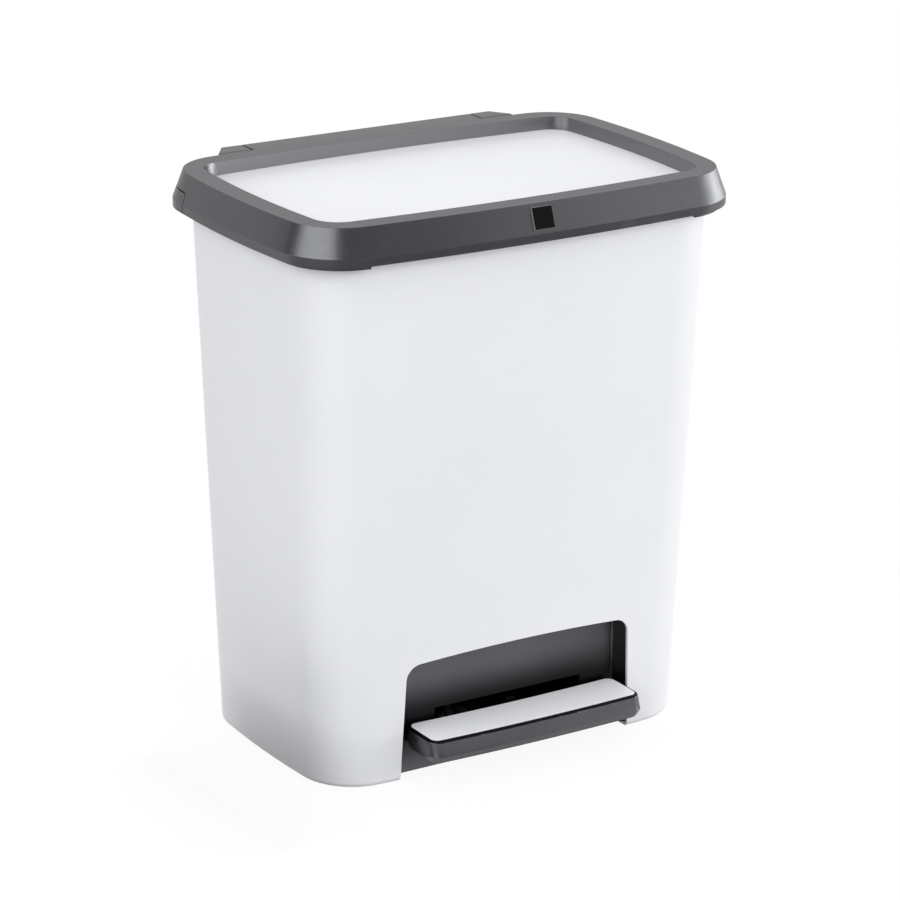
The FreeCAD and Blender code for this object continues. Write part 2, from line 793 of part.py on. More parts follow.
# Lid
def make_lid_frame():
    body = add_body("lid_frame")
    wall = size("lid_wall")
    plate_under = lid_top - wall
    slab(body, "Pad", "band", lid_outline, (band_foot, band_top))
    outline_loft(body, "Additive", "slope", lid_outline, band_top, ring_outline, lid_top)
    slab(body, "Pocket", "band_hollow", lid_outline.inset(wall), (band_foot - CUT_OVER, band_top))
    outline_loft(body, "Subtractive", "slope_hollow", lid_outline.inset(wall), band_top,
                 ring_outline.inset(wall), plate_under)
    cut_rear_skirt(body)
    ledge_top = lid_top - size("recess_depth") - size("panel_thickness")
    ledge_foot = ledge_top - size("ledge_thickness")
    slab(body, "Pad", "inner_wall", recess_outline.inset(-wall), (ledge_foot, plate_under))
    add_hinge_tab(body, plate_under)
    add_ribs(body, plate_under)
    floor_outline = recess_outline.inset(size("recess_draft"))
    outline_loft(body, "Subtractive", "recess", floor_outline, ledge_top + size("panel_thickness"),
                 recess_outline, lid_top)
    slab(body, "Pocket", "panel_seat", floor_outline, (ledge_top, ledge_top + size("panel_thickness")))
    slab(body, "Pocket", "ledge_hole", floor_outline.inset(size("ledge_width")),
         (ledge_foot - CUT_OVER, ledge_top))
    add_crank_cheeks(body, plate_under, ledge_top)


def cut_rear_skirt(body):
    """The skirt behind the side seams stays on the collar, with room for the ears above."""
    rear = lid_half_depth + CUT_OVER
    beyond = lid_half_width + CUT_OVER
    step = size("split_below")
    profile = [(skirt_end, band_foot - CUT_OVER), (rear, band_foot - CUT_OVER), (rear, split),
               (skirt_end + step, split), (skirt_end, split - step)]
    side_plate(body, "Pocket", "rear_skirt", profile, (-beyond, beyond))
    for side, x_range in mirrored(tab_half + size("tab_gap") / 2, ear_outer + size("seam_gap")):
        block(body, "Pocket", f"ear_notch_{side}", x_range, (ear_front_y(), rear),
              (band_foot, lid_top + CUT_OVER))
        block(body, "Pocket", f"ear_room_{side}", x_range, (ear_front_y() - size("lid_wall"), rear),
              (band_foot, lid_top - size("lid_wall")))


def add_hinge_tab(body, plate_under):
    wall = size("lid_wall")
    tab_front = ear_front_y() - size("ring_width") / 4
    cover = [(tab_front, lid_top), (tab_front, plate_under), (hump_back - wall, plate_under),
             (hump_back - wall, hinge_z - wall), (hump_back, hinge_z - wall), (hump_back, lid_top)]
    side_plate(body, "Pad", "tab_cover", cover, (-tab_half, tab_half))

    def back_top(edge):
        box = edge.BoundBox
        return abs(box.ZMin - lid_top.value) < 1e-4 and abs(box.YMin - hump_back.value) < 1e-4
    dress_edges(body, "Fillet", "tab_round", size("hump_round"), back_top)
    knuckle_inner = tab_half - size("knuckle_length")
    radius = size("knuckle_radius")
    web = [(hinge_y - radius, hinge_z), (hinge_y + radius - wall / 2, hinge_z),
           (hinge_y + radius - wall / 2, plate_under), (hinge_y - radius, plate_under)]
    for side, x_range in mirrored(knuckle_inner, tab_half):
        side_plate(body, "Pad", f"knuckle_web_{side}", web, x_range)
        cross_round(body, "Pad", f"knuckle_{side}", hinge_y, hinge_z, radius, x_range)
    bore_end = tab_half + CUT_OVER
    bore_start = tab_half - size("pin_in_knuckle") - size("fit_gap")
    for side, x_range in mirrored(bore_start, bore_end):
        cross_round(body, "Pocket", f"knuckle_bore_{side}", hinge_y, hinge_z,
                    size("hinge_pin_radius") + size("running_gap"), x_range)


def add_ribs(body, plate_under):
    """Ribs under the ring, on which the shut lid rests on the collar."""
    foot = collar_top + size("lid_rest_gap")
    half = size("rib_thickness") / 2
    place = lid_half_width - size("rib_margin")
    reach = size("slope_inset") + size("lid_wall") / 2
    front = -(lid_half_depth - reach - place * place / (2 * size("front_bow")))
    x_side = lid_half_width - reach - place * place / (8 * size("side_bow"))
    depth = size("rib_depth")
    for side in (-1, 1):
        name = "right" if side > 0 else "left"
        x = side * place
        block(body, "Pad", f"front_rib_{name}", (x - half, x + half), (front, front + depth),
              (foot, plate_under))
        y = -place / 2
        outer = side * x_side
        block(body, "Pad", f"side_rib_{name}", (outer, outer - side * depth), (y - half, y + half),
              (foot, plate_under))


def add_crank_cheeks(body, plate_under, ledge_top):
    boss = size("crank_boss")
    shoulder = collar_top + size("fit_gap") * 4
    inner = recess_outline.depth / 2
    profile = [(crank_y - boss, crank_z), (crank_y + boss, crank_z), (crank_y + boss, shoulder),
               (hinge_y - size("knuckle_radius"), hinge_z), (hinge_y - size("knuckle_radius"), plate_under),
               (inner, plate_under), (inner, ledge_top),
               (crank_y - boss, ledge_top - size("ledge_thickness"))]
    for side, x_range in mirrored(cheek_inner, cheek_outer):
        side_plate(body, "Pad", f"cheek_{side}", profile, x_range)
        cross_round(body, "Pad", f"cheek_boss_{side}", crank_y, crank_z, boss, x_range)
    cross_round(body, "Pocket", "crank_bore", crank_y, crank_z, size("crank_pin_radius") + size("press_gap"),
                (-cheek_outer - CUT_OVER, cheek_outer + CUT_OVER))


def make_lid_panel():
    body = add_body("lid_panel")
    outline = recess_outline.inset(size("recess_draft") + size("panel_gap"))
    top = lid_top - size("recess_depth")
    slab(body, "Pad", "panel", outline, (top - size("panel_thickness"), top))


def make_badge_plate():
    body = add_body("badge_plate")
    half, tall = size("badge_width") / 2, size("badge_height") / 2
    block(body, "Pad", "plate", (-half, half), (-tall, tall), (as_length(0), size("badge_thickness")))
    dress_edges(body, "Chamfer", "bevel", size("badge_bevel"), level_at(size("badge_thickness")))
    rise = math.degrees(math.atan2(sizes["slope_height"], sizes["slope_inset"]))
    body.Placement = FreeCAD.Placement(FreeCAD.Vector(), FreeCAD.Rotation(FreeCAD.Vector(1, 0, 0), rise))
    bind(body, "Placement.Base.y", -(lid_half_depth - size("slope_inset") / 2 + size("badge_seat")))
    bind(body, "Placement.Base.z", band_top + size("slope_height") / 2)


# Recess behind the pedal
def make_pedal_housing():
    body = add_body("pedal_housing")
    wall = size("housing_wall")
    inner = opening_half + size("housing_gap")
    outer = inner + wall
    block(body, "Pad", "back_wall", (-outer, outer), (recess_y, housing_back), (flange_top, housing_top))
    skirt = opening_half - size("housing_gap")
    block(body, "Pad", "back_skirt", (-skirt, skirt), (recess_y, housing_back), (size("skirt_gap"), roof))
    for side in (-1, 1):
        sketch = add_sketch(body, f"corner_fill_{'right' if side > 0 else 'left'}", "XY_Plane", flange_top)
        draw_polygon(sketch, [(side * inner, recess_y), (side * inner, recess_y - size("corner_fill_depth")),
                              (side * (inner - size("corner_fill_width")), recess_y)])
        extrude(body, "Pad", sketch, roof - flange_top)
    block(body, "Pocket", "neck_window", (-window_half, window_half),
          (recess_y - CUT_OVER, housing_back + CUT_OVER),
          (size("window_sill"), size("window_head")))
    bow_drop = outer * outer / (2 * size("front_bow")) + size("fit_gap")
    front_low = bow_drop - inner_wall_y(flange_top)
    front_high = bow_drop - inner_wall_y(housing_top)
    profile = [(front_low, flange_top), (housing_back, flange_top), (housing_back, housing_top),
               (front_high, housing_top)]
    for side, x_range in mirrored(inner, outer):
        side_plate(body, "Pad", f"side_wall_{side}", profile, x_range)
    block(body, "Pad", "roof", (-outer, outer), (front_high, housing_back), (roof, housing_top))


# Base tray with the axle's bearing lugs
def make_base_tray():
    body = add_body("base_tray")
    outline = body_outline(flange_top).inset(body_wall + size("fit_gap"))
    slab(body, "Pad", "floor", outline, (flange_top, tray_top))
    beyond = lid_half_width
    front = housing_back + size("fit_gap")
    block(body, "Pocket", "front_cut", (-beyond, beyond), (-lid_half_depth, front),
          (flange_top - CUT_OVER, tray_top + CUT_OVER))
    radius = size("lug_radius")
    for side, x_range in mirrored(lug_inner, lug_outer):
        block(body, "Pad", f"lug_{side}", x_range, (axle_y - radius, axle_y + radius), (tray_top, axle_z))
        cross_round(body, "Pad", f"lug_eye_{side}", axle_y, axle_z, radius, x_range)
    cross_round(body, "Pocket", "axle_bore", axle_y, axle_z, size("axle_radius") + size("running_gap"),
                (-lug_outer - CUT_OVER, lug_outer + CUT_OVER))
    for side, x_range in mirrored(window_half + size("housing_wall"), opening_half):
        block(body, "Pad", f"tab_{side}", x_range, (front, front + size("tray_thickness")),
              (tray_top, tray_top + size("tab_height")))
    for number, (x, y) in enumerate(base_screw_places()):
        upright_round(body, "Pocket", f"screw_hole_{number}", x, y,
                      size("screw_radius") + size("running_gap"),
                      (flange_top - CUT_OVER, tray_top + CUT_OVER))


def make_base_screws():
    shank = size("tray_thickness") + size("flange_thickness") * 0.8
    screws = [screw(f"base_screw_{number}", x, y, tray_top, True, shank)
              for number, (x, y) in enumerate(base_screw_places())]
    add_group("base_screws", screws)


# Pedal
def make_pedal_tread():
    body = add_body("pedal_tread")
    top = size("pedal_top")
    foot = top - size("pedal_height")
    brow = top - size("brow_drop")
    shoulder = top - size("pedal_round") * 1.1
    half = pedal_half
    corner = size("pedal_corner")
    wide = PedalPlan(half, tread_front, tread_back, corner)
    chin = wide.inset(size("chin_inset"), 0, corner)
    crown = tread_crown()
    slab(body, "Pad", "crown", crown, (shoulder, top))
    dress_edges(body, "Fillet", "crown_round", size("pedal_round"), level_at(top))
    outline_loft(body, "Additive", "front", wide, brow, crown, shoulder)
    outline_loft(body, "Additive", "chin", chin, foot, wide, brow)
    seat = top + size("insert_proud") - size("insert_thickness")
    slab(body, "Pocket", "insert_seat", insert_plan(size("insert_rim")), (seat, top + CUT_OVER))
    wall = size("pedal_wall")
    hollow = chin.inset(wall, wall, size("insert_corner"))
    slab(body, "Pocket", "underside", hollow, (foot - CUT_OVER, deck_under))
    add_neck(body, seat, top)
    gap = size("lever_width") / 2 + size("fit_gap")
    block(body, "Pocket", "lever_gap", (-gap, gap), (tread_back - wall - CUT_OVER, tread_back + CUT_OVER),
          (foot - CUT_OVER, deck_under))
    for number, x in enumerate(lever_screw_places()):
        upright_round(body, "Pocket", f"neck_hole_{number}", x, lever_screw_y(),
                      size("screw_radius") + size("press_gap"), (deck_under - CUT_OVER, neck_hole_top()))


def tread_crown():
    front = tread_front + size("brow_inset")
    return PedalPlan(pedal_half - size("brow_side"), front, tread_back, size("pedal_corner"))


def insert_plan(rim_width):
    """The tread's crown drawn in to a rim, wide at the front and narrow at the back."""
    spare = rim_width - size("insert_rim")
    return tread_crown().inset(rim_width, size("back_rim") + spare, size("insert_corner") - spare)


def neck_top():
    return deck_under + size("neck_thickness")


def neck_hole_top():
    return deck_under + size("neck_thickness") * 0.75


def add_neck(body, seat, top):
    """The neck behind the tread, with the rim cut down beside it."""
    half = size("neck_width") / 2
    beyond = pedal_half
    rim_front = tread_back - size("back_rim")
    rim_back = tread_back + beyond * beyond / (2 * size("front_bow")) + CUT_OVER
    for side, x_range in mirrored(half, beyond):
        block(body, "Pocket", f"rim_cut_{side}", x_range, (rim_front, rim_back), (seat, top + CUT_OVER))
    neck_back = tread_back + size("neck_length")
    block(body, "Pad", "neck", (-half, half), (rim_front, neck_back), (deck_under, neck_top()))
    bump = size("bump_width") / 2
    slim = bump / 2
    sketch = add_sketch(body, "bump", "XZ_Plane", -tread_back - size("fit_gap"))
    head = neck_top() + size("bump_height")
    draw_polygon(sketch, [(-bump, deck_under), (bump, deck_under), (slim, head), (-slim, head)])
    feature = body.newObject("PartDesign::Pad", "bump_pad")
    feature.Profile = sketch
    feature.Reversed = True
    bind(feature, "Length", size("bump_height"))


def make_tread_insert():
    body = add_body("tread_insert")
    top = size("pedal_top") + size("insert_proud")
    plan = insert_plan(size("insert_rim") + size("insert_groove"))
    slab(body, "Pad", "plate", plan, (top - size("insert_thickness"), top))
    dress_edges(body, "Fillet", "edge", size("insert_round"), level_at(top))


# Lever, axle and pins
def lever_screw_places():
    return [side * size("lever_screw_spread") / 2 for side in (-1, 1)]


def lever_screw_y():
    return tread_back + size("neck_length") / 2


def make_pedal_lever():
    body = add_body("pedal_lever")
    half = size("lever_width") / 2
    arm_half = size("arm_width") / 2
    plate_foot = deck_under - size("plate_thickness")
    hub = size("hub_radius")
    block(body, "Pad", "plate", (-half, half), (tread_back - size("plate_reach"), axle_y),
          (plate_foot, deck_under))
    cross_round(body, "Pad", "hub", axle_y, axle_z, hub, (-half, half))
    root_half = size("arm_root_height") / 2
    end = size("arm_end_radius")
    arm = [(axle_y, axle_z - root_half), (lever_pin_y, lever_pin_z - end), (lever_pin_y, lever_pin_z + end),
           (axle_y, axle_z + root_half)]
    side_plate(body, "Pad", "arm", arm, (-arm_half, arm_half))
    cross_round(body, "Pad", "arm_end", lever_pin_y, lever_pin_z, end, (-arm_half, arm_half))
    sketch = add_sketch(body, "web", "XY_Plane", axle_z - root_half / 2)
    web_end = axle_y + size("lever_width")
    draw_polygon(sketch, [(-half, axle_y), (half, axle_y), (arm_half, web_end), (-arm_half, web_end)])
    extrude(body, "Pad", sketch, root_half / 2)
    for name, y, z, radius in (("axle_bore", axle_y, axle_z, size("axle_radius")),
                               ("pin_bore", lever_pin_y, lever_pin_z, size("lever_pin_radius"))):
        cross_round(body, "Pocket", name, y, z, radius + size("press_gap"),
                    (-half - CUT_OVER, half + CUT_OVER))
    for number, x in enumerate(lever_screw_places()):
        upright_round(body, "Pocket", f"screw_hole_{number}", x, lever_screw_y(),
                      size("screw_radius") + size("running_gap"),
                      (plate_foot - CUT_OVER, deck_under + CUT_OVER))


def make_lever_fittings():
    plate_foot = deck_under - size("plate_thickness")
    shank = size("plate_thickness") + size("neck_thickness") * 0.7
    screws = [screw(f"lever_screw_{number}", x, lever_screw_y(), plate_foot, False, shank)
              for number, x in enumerate(lever_screw_places())]
    add_group("lever_screws", screws)
    clip_inner = lug_outer + size("fit_gap")
    clip_outer = clip_inner + size("clip_thickness")
    add_pin("pedal_axle", size("axle_radius"), clip_outer + size("clip_thickness"), axle_y, axle_z)
    add_pin("lever_pin", size("lever_pin_radius"), fork_outer - size("fit_gap"), lever_pin_y, lever_pin_z)
    add_pin("crank_pin", size("crank_pin_radius"), cheek_outer, crank_y, crank_z)
    clips = []
    for side, x_range in mirrored(clip_inner, clip_outer):
        place = (x_range[0], axle_y, axle_z)
        ring = doc.addObject("Part::Cut", f"axle_clip_{side}")
        ring.Base = cylinder(f"clip_disc_{side}", size("clip_radius"), size("clip_thickness"), place,
                             ALONG_X)
        ring.Tool = cylinder(f"clip_hole_{side}", size("axle_radius") + size("press_gap"),
                             size("clip_thickness"), place, ALONG_X)
        clips.append(ring)
    add_group("axle_clips", clips)
    pin_inner = tab_half - size("pin_in_knuckle")
    pin_length = ear_pin_end - pin_inner
    pins = [cylinder(f"hinge_pin_{side}", size("hinge_pin_radius"), pin_length,
                     (x_range[0], hinge_y, hinge_z),
                     ALONG_X) for side, x_range in mirrored(pin_inner, ear_pin_end)]
    add_group("hinge_pins", pins)


# Push rod with its slotted ends, and the channel that guides it
def make_push_rod():
    rod = cylinder("push_rod", size("rod_radius"), rod_top() - rod_foot_z(), (0, rod_y, rod_foot_z()),
                   UPRIGHT)
    nodes.append(rod)


def rod_foot_z():
    return lever_pin_z + size("arm_end_radius") + size("fork_play") * 6


def rod_top():
    return crank_z - size("head_height") / 2 - size("head_wall")


def make_rod_foot():
    body = add_body("rod_foot")
    play = size("fork_play")
    pin = size("lever_pin_radius")
    swing = size("crank_drop") * size("crank_drop") / (2 * (rod_y - axle_y))
    slot_front = lever_pin_y - pin - play
    slot_back = lever_pin_y + swing + pin + play
    y_range = (slot_front - size("fork_wall"), slot_back + size("fork_wall"))
    foot = lever_pin_z - size("arm_end_radius")
    block(body, "Pad", "fork", (-fork_outer, fork_outer), y_range,
          (foot, rod_foot_z() + size("socket_length") / 2))
    block(body, "Pocket", "arm_gap", (-fork_half, fork_half), (y_range[0] - CUT_OVER, y_range[1] + CUT_OVER),
          (foot - CUT_OVER, rod_foot_z()))
    slot = [(slot_front, lever_pin_z - pin - play), (slot_back, lever_pin_z - pin - play),
            (slot_back, lever_pin_z + pin + play), (slot_front, lever_pin_z + pin + play)]
    side_plate(body, "Pocket", "pin_slot", slot, (-fork_outer - CUT_OVER, fork_outer + CUT_OVER))
    upright_round(body, "Pocket", "rod_bore", 0, rod_y, size("rod_radius") + size("press_gap"),
                  (rod_foot_z(), rod_foot_z() + size("socket_length")))


def make_rod_head():
    body = add_body("rod_head")
    pin = size("crank_pin_radius")
    play = size("crank_play")
    half_height = size("head_height") / 2
    front = rod_y - socket_half
    slot_front = crank_front - pin - play
    slot_back = crank_y + pin + play
    block(body, "Pad", "yoke", (-head_half, head_half), (front, slot_back + size("head_wall")),
          (crank_z - half_height, crank_z + half_height))
    block(body, "Pad", "socket", (-head_half, head_half), (front, rod_y + socket_half),
          (crank_z - half_height - size("socket_length"), crank_z - half_height))
    slot = [(slot_front, crank_z - pin - play), (slot_back, crank_z - pin - play),
            (slot_back, crank_z + pin + play), (slot_front, crank_z + pin + play)]
    side_plate(body, "Pocket", "crank_slot", slot, (-head_half - CUT_OVER, head_half + CUT_OVER))
    upright_round(body, "Pocket", "rod_bore", 0, rod_y, size("rod_radius") + size("press_gap"),
                  (crank_z - half_height - size("socket_length") - CUT_OVER, rod_top()))


def make_rod_channel():
    body = add_body("rod_channel")
    top = spigot_foot - size("fit_gap")
    back = [inner_wall_y(height) - size("fit_gap") for height in (tray_top, top)]
    profile = [(channel_front, tray_top), (back[0], tray_top), (back[1], top), (channel_front, top)]
    for side, x_range in mirrored(channel_half - size("channel_wall"), channel_half):
        side_plate(body, "Pad", f"cheek_{side}", profile, x_range)
    block(body, "Pad", "cover", (-channel_half, channel_half), (channel_front, channel_back),
          (bucket_foot, top))


# Inner bucket
def make_inner_bucket():
    body = add_body("inner_bucket")
    wall = size("bucket_wall")
    box_loft(body, "Additive", "bucket", bucket_box(bucket_foot, 0), bucket_foot, bucket_box(bucket_top, 0),
             bucket_top)
    x_range, y_range, corner = bucket_box(bucket_top, 0)
    rim_width = size("bucket_rim_width")
    back_rim = size("bucket_gap") * 2
    rounded_slab(body, "Pad", "bucket_rim", (x_range[0] - rim_width, x_range[1] + rim_width),
                 (y_range[0] - rim_width, y_range[1] + back_rim), corner, (collar_top, bucket_top))
    floor = bucket_foot + wall
    over = bucket_top + CUT_OVER
    box_loft(body, "Subtractive", "inside", bucket_box(floor, wall), floor, bucket_box(over, wall), over)


make_outer_body()
make_collar()
make_lid_frame()
make_lid_panel()
make_badge_plate()
make_pedal_housing()
make_base_tray()
make_base_screws()
make_pedal_tread()
make_tread_insert()
make_pedal_lever()
make_lever_fittings()
make_push_rod()
make_rod_foot()
make_rod_head()
make_rod_channel()
make_inner_bucket()
doc.recompute()

# Nothing is written unless every piece came out whole
failed = [item.Label for item in doc.Objects if {"Invalid", "Error"} & set(item.State)]
broken = [node.Label for node in nodes if node.Shape.isNull() or not node.Shape.isValid()]
if failed or broken:
    raise RuntimeError(f"failed features {failed}, broken shapes {broken}")
os.makedirs("parts", exist_ok=True)
for node in nodes:
    node.Shape.exportStep(f"parts/{node.Label}.step")
    print(f"{node.Label}: {len(node.Shape.Solids)} solids, {node.Shape.Volume / 1000:.1f} cm3")
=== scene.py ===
import json
import math
import bmesh
import bpy
from mathutils import Matrix, Vector


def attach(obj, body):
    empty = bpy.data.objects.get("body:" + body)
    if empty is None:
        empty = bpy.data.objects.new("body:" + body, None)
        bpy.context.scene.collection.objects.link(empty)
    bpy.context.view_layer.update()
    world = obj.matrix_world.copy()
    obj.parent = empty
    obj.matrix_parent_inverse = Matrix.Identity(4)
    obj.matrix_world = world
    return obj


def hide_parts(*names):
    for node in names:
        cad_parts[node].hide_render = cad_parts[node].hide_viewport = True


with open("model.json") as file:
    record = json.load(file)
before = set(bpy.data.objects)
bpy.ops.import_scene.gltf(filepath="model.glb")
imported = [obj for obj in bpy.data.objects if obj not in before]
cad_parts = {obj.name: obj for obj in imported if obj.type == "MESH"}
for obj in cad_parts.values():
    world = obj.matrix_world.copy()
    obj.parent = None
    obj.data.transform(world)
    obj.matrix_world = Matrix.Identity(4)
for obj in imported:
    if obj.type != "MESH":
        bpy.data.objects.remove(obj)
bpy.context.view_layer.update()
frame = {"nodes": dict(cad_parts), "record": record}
nodes = frame["nodes"]
bodies = frame["record"]["behaviour"]["bodies"]
nodeSlots = {part["node"]: part["material_slot"] for part in frame["record"]["subparts"]}
scene = bpy.context.scene
scene.view_settings.view_transform = "Standard"
print("frame loaded")


# how far a piece of the frame reaches along x, y and z
def nodeReach(name):
    return [max(vertex.co[axis] for vertex in nodes[name].data.vertices) for axis in range(3)]


def grey(tone):
    return (tone, tone, tone, 1)


# node helpers: a value is a number, a colour or another node's output
def feed(tree, socket, value):
    if isinstance(value, bpy.types.NodeSocket):
        tree.links.new(value, socket)
    else:
        socket.default_value = value


def addNode(tree, kind, spot, **values):
    node = tree.nodes.new(kind)
    node.location = spot
    for key, value in values.items():
        setattr(node, key, value)
    return node


def addMath(tree, operation, spot, *terms):
    node = addNode(tree, "ShaderNodeMath", spot, operation=operation)
    for socket, term in zip(node.inputs, terms):
        feed(tree, socket, term)
    return node.outputs[0]


def addRamp(tree, spot, value, start, end, low=0.0, high=1.0, **values):
    node = addNode(tree, "ShaderNodeMapRange", spot, **values)
    for label, number in (("From Min", start), ("From Max", end), ("To Min", low), ("To Max", high)):
        node.inputs[label].default_value = number
    tree.links.new(value, node.inputs["Value"])
    return node.outputs["Result"]


def addMix(tree, spot, factor, first, second):
    node = addNode(tree, "ShaderNodeMix", spot, data_type="RGBA")
    for label, value in (("Factor", factor), ("A", first), ("B", second)):
        feed(tree, node.inputs[label], value)
    return node.outputs["Result"]


def newGroup(name, inputs, outputs):
    tree = bpy.data.node_groups.new(name, "ShaderNodeTree")
    for label, value in inputs.items():
        socket = tree.interface.new_socket(label, in_out="INPUT", socket_type="NodeSocketFloat")
        socket.default_value = value
    for label in outputs:
        tree.interface.new_socket(label, in_out="OUTPUT", socket_type="NodeSocketFloat")
    source = addNode(tree, "NodeGroupInput", (-900, 0))
    sink = addNode(tree, "NodeGroupOutput", (700, 0))
    return tree, source, sink


def newMaterial(name):
    material = bpy.data.materials.new(name)
    material.use_nodes = True
    tree = material.node_tree
    return material, tree, tree.nodes["Principled BSDF"]


# moulded grain: fine pits, a faint flow drift and a tone that follows both
def buildGrain():
    mould = {"scale": 900.0, "drift": 9.0, "fineDetail": 3.0, "fineRoughness": 0.6, "driftDetail": 4.0,
             "pitShare": 0.5, "toneShare": 0.6}
    sockets = {"Scale": mould["scale"], "Drift": mould["drift"]}
    tree, source, sink = newGroup("mouldGrain", sockets, ("Height", "Tone", "Flow"))
    coord = addNode(tree, "ShaderNodeTexCoord", (-900, -250))
    fine = addNode(tree, "ShaderNodeTexNoise", (-600, 150))
    fine.inputs["Detail"].default_value = mould["fineDetail"]
    fine.inputs["Roughness"].default_value = mould["fineRoughness"]
    pits = addNode(tree, "ShaderNodeTexVoronoi", (-600, -150))
    drift = addNode(tree, "ShaderNodeTexNoise", (-600, -450))
    drift.inputs["Detail"].default_value = mould["driftDetail"]
    for node, size in ((fine, "Scale"), (pits, "Scale"), (drift, "Drift")):
        tree.links.new(coord.outputs["Object"], node.inputs["Vector"])
        tree.links.new(source.outputs[size], node.inputs["Scale"])
    low = addMath(tree, "MULTIPLY", (-350, -150), pits.outputs["Distance"], mould["pitShare"])
    height = addMath(tree, "ADD", (-150, 50), fine.outputs["Fac"], low)
    mixed = addMath(tree, "MULTIPLY", (50, -100), height, mould["toneShare"])
    tone = addMath(tree, "ADD", (250, -150), mixed, drift.outputs["Fac"])
    for label, value in (("Height", height), ("Tone", tone), ("Flow", drift.outputs["Fac"])):
        tree.links.new(value, sink.inputs[label])
    return tree


# handling marks: thin crossing scratches that show as roughness
def buildScuffs():
    marks = {"density": 60.0, "tilt": (0.2, 0.1), "turns": (0.35, -0.8), "stretch": (1.0, 14.0, 1.0),
             "detail": 5.0, "start": 0.6, "end": 0.68}
    tree, source, sink = newGroup("handlingMarks", {"Density": marks["density"]}, ("Mask",))
    coord = addNode(tree, "ShaderNodeTexCoord", (-900, -250))
    masks = []
    for row, turn in zip((200, -150), marks["turns"]):
        mapping = addNode(tree, "ShaderNodeMapping", (-650, row))
        mapping.inputs["Rotation"].default_value = (*marks["tilt"], turn)
        mapping.inputs["Scale"].default_value = marks["stretch"]
        noise = addNode(tree, "ShaderNodeTexNoise", (-450, row))
        noise.inputs["Detail"].default_value = marks["detail"]
        tree.links.new(coord.outputs["Object"], mapping.inputs["Vector"])
        tree.links.new(mapping.outputs["Vector"], noise.inputs["Vector"])
        tree.links.new(source.outputs["Density"], noise.inputs["Scale"])
        masks.append(addRamp(tree, (-250, row), noise.outputs["Fac"], marks["start"], marks["end"]))
    tree.links.new(addMath(tree, "MAXIMUM", (0, 0), *masks), sink.inputs["Mask"])
    return tree


grainGroup = buildGrain()
scuffGroup = buildScuffs()


# moulded plastic: grain in tone and bump, scuffs in roughness
def plastic(name, look):
    mould = {"toneStart": 0.5, "toneEnd": 1.3, "bumpDepth": 0.0002}
    material, tree, shader = newMaterial(name)
    grain = addNode(tree, "ShaderNodeGroup", (-900, 100), node_tree=grainGroup)
    grain.inputs["Scale"].default_value = look["grain"]
    grain.inputs["Drift"].default_value = look["drift"]
    scuffs = addNode(tree, "ShaderNodeGroup", (-900, -250), node_tree=scuffGroup)
    scuffs.inputs["Density"].default_value = look["scuffs"]
    tone = addRamp(tree, (-650, 250), grain.outputs["Tone"], mould["toneStart"], mould["toneEnd"])
    colour = addMix(tree, (-400, 250), tone, (*look["dark"], 1), (*look["light"], 1))
    tree.links.new(colour, shader.inputs["Base Color"])
    smooth, dull = look["rough"] - look["roughSpread"], look["rough"] + look["roughSpread"]
    rough = addRamp(tree, (-650, -50), grain.outputs["Flow"], 0.0, 1.0, smooth, dull)
    worn = addMath(tree, "MULTIPLY", (-650, -300), scuffs.outputs["Mask"], look["wear"])
    tree.links.new(addMath(tree, "ADD", (-400, -100), rough, worn), shader.inputs["Roughness"])
    bump = addNode(tree, "ShaderNodeBump", (-400, -350))
    bump.inputs["Strength"].default_value = look["bump"]
    bump.inputs["Distance"].default_value = mould["bumpDepth"]
    tree.links.new(grain.outputs["Height"], bump.inputs["Height"])
    tree.links.new(bump.outputs["Normal"], shader.inputs["Normal"])
    shader.inputs["Metallic"].default_value = look.get("metallic", 0.0)
    shader.inputs["Specular IOR Level"].default_value = look.get("specular", 0.5)
    shader.inputs["Specular Tint"].default_value = grey(look.get("rimTint", 1.0))
    return material


looks = {
    "white": dict(dark=(0.762, 0.770, 0.800), light=(0.815, 0.822, 0.855), grain=1400, drift=6, scuffs=40,
                  rough=0.34, roughSpread=0.04, wear=0.05, bump=0.02),
    "anthracite": dict(dark=(0.088, 0.090, 0.096), light=(0.121, 0.123, 0.131), grain=1300, drift=8,
                       scuffs=70, rough=0.30, roughSpread=0.04, wear=0.06, bump=0.12, metallic=0.85,
                       rimTint=0.75),
    "pedal": dict(dark=(0.086, 0.088, 0.094), light=(0.118, 0.120, 0.128), grain=1400, drift=10, scuffs=90,
                  rough=0.31, roughSpread=0.05, wear=0.10, bump=0.10, metallic=0.88, rimTint=0.8),
    "recess": dict(dark=(0.090, 0.092, 0.098), light=(0.122, 0.124, 0.132), grain=1500, drift=12, scuffs=60,
                   rough=0.34, roughSpread=0.05, wear=0.08, bump=0.1, metallic=0.88),
    "dark": dict(dark=(0.006, 0.006, 0.006), light=(0.012, 0.012, 0.013), grain=1500, drift=12, scuffs=60,
                 rough=0.45, roughSpread=0.06, wear=0.08, bump=0.1, specular=0.25),
    "bucket": dict(dark=(0.10, 0.10, 0.104), light=(0.135, 0.135, 0.14), grain=1200, drift=7, scuffs=50,
                   rough=0.4, roughSpread=0.06, wear=0.1, bump=0.05),
    # the insert is the white plastic painted lighter, painted light against the shade it sits in
    "insert": dict(dark=(0.82, 0.828, 0.858), light=(0.87, 0.877, 0.905), grain=1400, drift=6, scuffs=40,
                   rough=0.34, roughSpread=0.04, wear=0.05, bump=0.02),
    "badge": dict(dark=(0.003, 0.003, 0.003), light=(0.006, 0.006, 0.006), grain=3000, drift=20, scuffs=120,
                  rough=0.25, roughSpread=0.03, wear=0.08, bump=0.01, specular=0.06),
}
materials = {name: plastic(name + "Plastic", look) for name, look in looks.items()}
# a copy of the anthracite that carries the lid ring's painted reflection
materials["lidRing"] = plastic("lidRingPlastic", looks["anthracite"])


